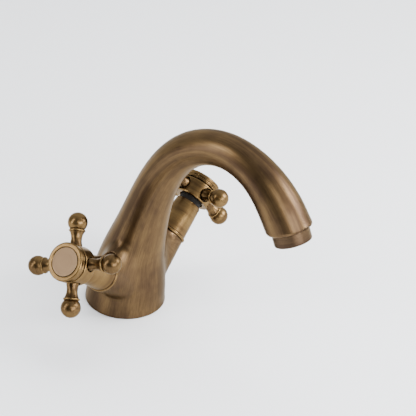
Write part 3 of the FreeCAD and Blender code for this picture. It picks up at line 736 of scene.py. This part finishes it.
def moulded(name, base, shade, rough, gloss=0.5):
    """Plastic, rubber or ceramic with a fine surface grain."""
    graph = Graph(name)
    place = graph.node("ShaderNodeTexCoord").outputs["Object"]
    marks = graph.noise(place, *MOULD_MARKS)
    cloud = graph.noise(place, *MOULD_CLOUDS)
    tone = graph.mix(graph.span(cloud, *CLOUD_SPAN), base, shade)
    graph.bump(marks, 0.25, MOULD_DEPTH)
    level = graph.span(marks, *MARK_SPAN, rough, rough + 0.12)
    return graph.shade(Base_Color=tone, Roughness=level, Specular_IOR_Level=gloss)


# each finish: its name, then brass, worn gold, patina and rubbed-edge colours
RUBBED = colour(0.3, 0.185, 0.07)
BRASS = antique_brass(
    "antique_brass", colour(0.058, 0.034, 0.018), colour(0.21, 0.13, 0.053),
    colour(0.015, 0.008, 0.005), RUBBED, 0.36)
BRASS_FINE = antique_brass(
    "antique_brass_turned", colour(0.088, 0.051, 0.021), colour(0.265, 0.164, 0.058),
    colour(0.018, 0.009, 0.005), RUBBED, 0.32)
BRASS_DARK = antique_brass(
    "antique_brass_dark", colour(0.048, 0.029, 0.018), colour(0.12, 0.075, 0.036),
    colour(0.02, 0.011, 0.007), colour(0.25, 0.16, 0.08), 0.36)
MATTE_BRASS = antique_brass(
    "matte_brass", colour(0.14, 0.09, 0.05), colour(0.19, 0.125, 0.068),
    colour(0.09, 0.055, 0.03), colour(0.2, 0.14, 0.08), 0.45, 0.6)
SLOT_MATERIALS = {
    "antique_brass": BRASS,
    "antique_brass_dark": BRASS_DARK,
    "matte_brass": MATTE_BRASS,
    "raw_brass": plain_metal("raw_brass", colour(0.75, 0.52, 0.2), colour(0.6, 0.4, 0.16), 0.28),
    "stainless_steel": plain_metal(
        "stainless_steel", colour(0.62, 0.61, 0.6), colour(0.5, 0.5, 0.5), 0.25),
    "zinc_steel": plain_metal("zinc_steel", colour(0.6, 0.61, 0.6), colour(0.48, 0.48, 0.44), 0.35),
    "rubber": moulded("rubber", colour(0.02, 0.02, 0.02), colour(0.035, 0.034, 0.033), 0.65),
    "black_plastic": moulded(
        "black_plastic", colour(0.006, 0.0045, 0.0035), colour(0.01, 0.008, 0.006), 0.55, 0.2),
    "white_plastic": moulded("white_plastic", colour(0.8, 0.8, 0.77), colour(0.74, 0.74, 0.7), 0.4),
    "ceramic": moulded("ceramic", colour(0.86, 0.85, 0.81), colour(0.8, 0.79, 0.75), 0.15),
}


# ================================================================ pieces
def make_handle(side):
    """One cross handle: hub, cap, inlay and four arms, all turning together."""
    body = side + "_handle"
    place = valve_frame(side)
    pockets = [turned("cutter", ARM_POCKET, arm_frame(side, quarter), 48) for quarter in range(4)]
    turned_piece(
        side + "_hub", HUB, place, body, BRASS_FINE, [side + "_handle_hub"], pockets)
    turned_piece(
        side + "_cap", CAP, place, body, BRASS_FINE, [side + "_cap_ring"])
    turned_piece(
        side + "_inlay", INDEX_DISC, place, body, MATTE_BRASS, [side + "_index_disc"])
    for quarter in range(4):
        turned_piece(
            f"{side}_cross_arm_{quarter + 1}", arm_outline(), arm_frame(side, quarter), body,
            BRASS_FINE, [f"{side}_arm_{quarter + 1}"], segments=56)


def arm_outline():
    """Tenon, waisted neck, bead and ball."""
    ball_start = (math.sqrt(BALL_RADIUS ** 2 - (BALL_AT - BEAD_HIGH) ** 2), BEAD_HIGH)
    ball_end = (0.0, BALL_AT + BALL_RADIUS)
    return [
        (0.0, 6.6, 0.0), (2.0, 6.6, 0.0), (2.0, 9.8, 0.0), (3.7, 9.8, 0.0), (3.7, 11.6, 0.0),
        *arc_points((3.7, 11.6), (4.0, 18.7), ARM_WAIST_ARC, -1, 10),
        (4.0, 18.7, 0.0), (4.3, BEAD_LOW, 0.0),
        *arc_points((4.3, BEAD_LOW), (4.3, BEAD_HIGH), BEAD_RADIUS, 1, 9),
        (4.3, BEAD_HIGH, 0.0), (*ball_start, 0.0),
        *arc_points(ball_start, ball_end, BALL_RADIUS, 1, 26),
        (*ball_end, 0.0),
    ]


def threaded_stud():
    """The fixing stud with its screw thread, and plain chamfered ends."""
    rows = int((STUD_TOP - STUD_FOOT) / THREAD_PITCH * THREAD_ROWS)
    segments = 32
    heights = np.linspace(STUD_FOOT, STUD_TOP, rows + 1)
    angles = np.linspace(0, 2 * math.pi, segments, endpoint=False)
    vertices = []
    for height in heights:
        turns = (height / THREAD_PITCH - angles / (2 * math.pi)) % 1
        crest = np.clip(np.abs(turns - 0.5) * 2.6 - 0.3, 0, 1)
        chamfer = STUD_CHAMFER - min(height - STUD_FOOT, STUD_TOP - height, STUD_CHAMFER)
        radius = np.minimum(STUD_RADIUS - THREAD_DEPTH * crest, STUD_RADIUS - chamfer)
        level = np.full(segments, height)
        ring = (STUD_X + radius * np.cos(angles), radius * np.sin(angles), level)
        vertices += list(np.column_stack(ring))
    piece = mesh_object("threaded_stud", vertices, tube_faces(rows + 1, segments))
    dress(piece, "root", SLOT_MATERIALS["zinc_steel"], ["fixing_stud"])
    split_corners(piece, BODY_CORNER)


def make_pieces():
    """Every piece of its own, then materials for the CAD nodes."""
    casting(BRASS)
    threaded_stud()
    turned_piece(
        "aerator_collar", COLLAR, outlet_frame(), "root", BRASS_DARK,
        ["aerator_housing"])
    for side in SIDES:
        turned_piece(
            side + "_bonnet", BONNET, valve_frame(side), "root", BRASS_FINE,
            [side + "_bonnet_sleeve"])
        make_handle(side)
    slots = {row["node"]: row["material_slot"] for row in frame["record"]["subparts"]}
    for name, node in frame["nodes"].items():
        node.data.materials.clear()
        node.data.materials.append(SLOT_MATERIALS[slots[name]])


# ================================================================ studio
def direction(azimuth, elevation):
    """A unit vector towards these angles; azimuth 0 is the -Y side, and grows towards +X."""
    turn = math.radians(azimuth)
    rise = math.radians(elevation)
    return Vector((math.sin(turn) * math.cos(rise), -math.cos(turn) * math.cos(rise), math.sin(rise)))


def soft_box(name, azimuth, elevation, distance, width, height, radiance):
    """A soft box facing the aim point; its azimuth is from the camera's side, to the right."""
    way = direction(CAMERA_AZIMUTH + azimuth, elevation)
    data = bpy.data.lights.new(name, "AREA")
    data.shape = "RECTANGLE"
    data.size = width
    data.size_y = height
    data.energy = radiance * math.pi * width * height
    light = bpy.data.objects.new(name, data)
    bpy.context.scene.collection.objects.link(light)
    light.location = Vector(CAMERA_AIM) * MM + way * distance
    light.rotation_mode = "QUATERNION"
    light.rotation_quaternion = way.to_track_quat("Z", "Y")
    return light


def make_floor():
    """The plain pale floor."""
    corners = [(x * FLOOR_REACH, y * FLOOR_REACH, 0) for x, y in ((-1, -1), (1, -1), (1, 1), (-1, 1))]
    floor = mesh_object("floor", corners, [(0, 1, 2, 3)])
    graph = Graph("floor")
    floor.data.materials.append(graph.shade(Base_Color=colour(0.86, 0.87, 0.89), Roughness=0.6))


def make_world():
    """A pale studio all round, darker on the side the camera looks from."""
    world = bpy.data.worlds.new("studio")
    bpy.context.scene.world = world
    world.use_nodes = True
    tree = world.node_tree
    background = tree.nodes["Background"]
    place = tree.nodes.new("ShaderNodeTexCoord")
    facing = tree.nodes.new("ShaderNodeVectorMath")
    facing.operation = "DOT_PRODUCT"
    facing.inputs[1].default_value = DARK_SIDE
    ramp = tree.nodes.new("ShaderNodeMapRange")
    ramp.interpolation_type = "SMOOTHSTEP"
    for key, value in STUDIO_FALL.items():
        ramp.inputs[key].default_value = value
    tree.links.new(place.outputs["Generated"], facing.inputs[0])
    tree.links.new(facing.outputs["Value"], ramp.inputs["Value"])
    tree.links.new(ramp.outputs["Result"], background.inputs["Strength"])
    background.inputs["Color"].default_value = colour(0.93, 0.96, 1.0)


def make_camera():
    """The camera at the photograph's viewing angle."""
    back = direction(CAMERA_AZIMUTH, CAMERA_ELEVATION)
    data = bpy.data.cameras.new("camera")
    data.lens = CAMERA_LENS
    data.sensor_width = 36.0
    camera = bpy.data.objects.new("camera", data)
    bpy.context.scene.collection.objects.link(camera)
    camera.rotation_mode = "QUATERNION"
    roll = Matrix.Rotation(math.radians(CAMERA_ROLL), 3, "Z")
    turn = (-back).to_track_quat("-Z", "Y").to_matrix() @ roll
    camera.rotation_quaternion = turn.to_quaternion()
    camera.location = (Vector(CAMERA_AIM) + back * CAMERA_DISTANCE) * MM
    bpy.context.scene.camera = camera


make_camera()
make_pieces()
make_floor()
make_world()
# name, azimuth, elevation, distance, width, height and radiance
soft_box("fill", -69.0, 22.0, BOX_DISTANCE, 0.2, 0.85, 11.5)
soft_box("front", 10.0, 38.0, BOX_DISTANCE, 0.3, 0.26, 5.0)
soft_box("key", 37.0, 20.0, BOX_DISTANCE, 0.75, 0.36, 12.0)
soft_box("window", 98.0, 30.0, BOX_DISTANCE, 0.6, 0.45, 14.0)
soft_box("strip", 88.0, 34.0, 0.85, 0.05, 0.4, 60.0)
ceiling = soft_box("ceiling", 150.0, 60.0, 1.3, 1.2, 1.2, 4.0)
ceiling.visible_glossy = False
